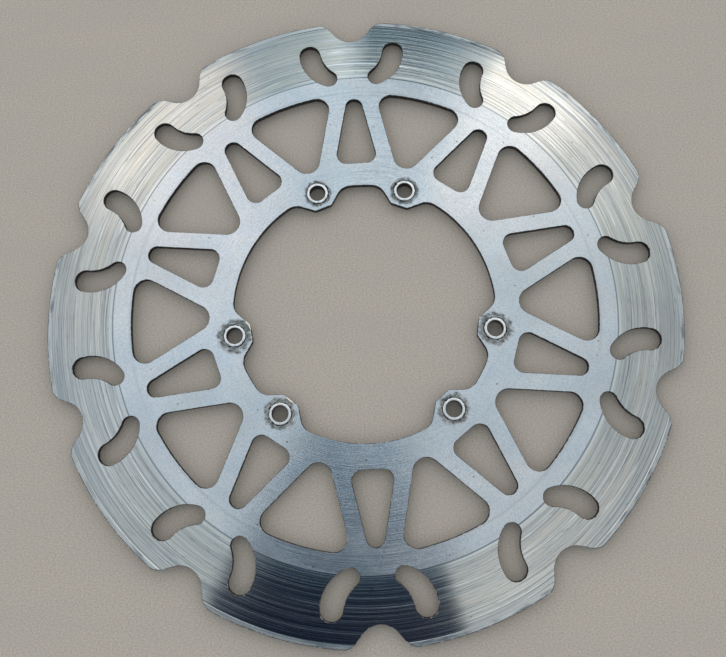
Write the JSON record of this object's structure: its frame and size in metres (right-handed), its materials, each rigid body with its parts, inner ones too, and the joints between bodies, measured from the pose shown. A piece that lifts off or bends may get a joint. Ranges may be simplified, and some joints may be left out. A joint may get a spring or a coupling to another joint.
{
  "type": "motorcycle brake disc",
  "caption": "One-piece wave brake disc with kidney slots in the swept band, tapered and triangular windows in the carrier, and a short pressed-in bush in each bolt hole.",
  "frame": {"origin": "on the disc's axis, in the plane of the bushes' hub-side faces, where the wheel hub's seat touches them", "axes": "+Z along the axis, from the hub side to the outer face; +Y through the middle of one pair of bolt holes; +X to the right of +Y, seen from outside"},
  "size_m": [0.32, 0.319, 0.006],
  "materials": {
    "disc_steel": "satin, ground round the swept band",
    "bush_steel": "bright turned"
  },
  "bodies": {
    "root": {"rotor_plate": "disc_steel", "bush_1": "bush_steel", "bush_2": "bush_steel", "bush_3": "bush_steel", "bush_4": "bush_steel", "bush_5": "bush_steel", "bush_6": "bush_steel"}
  },
  "joints": []
}
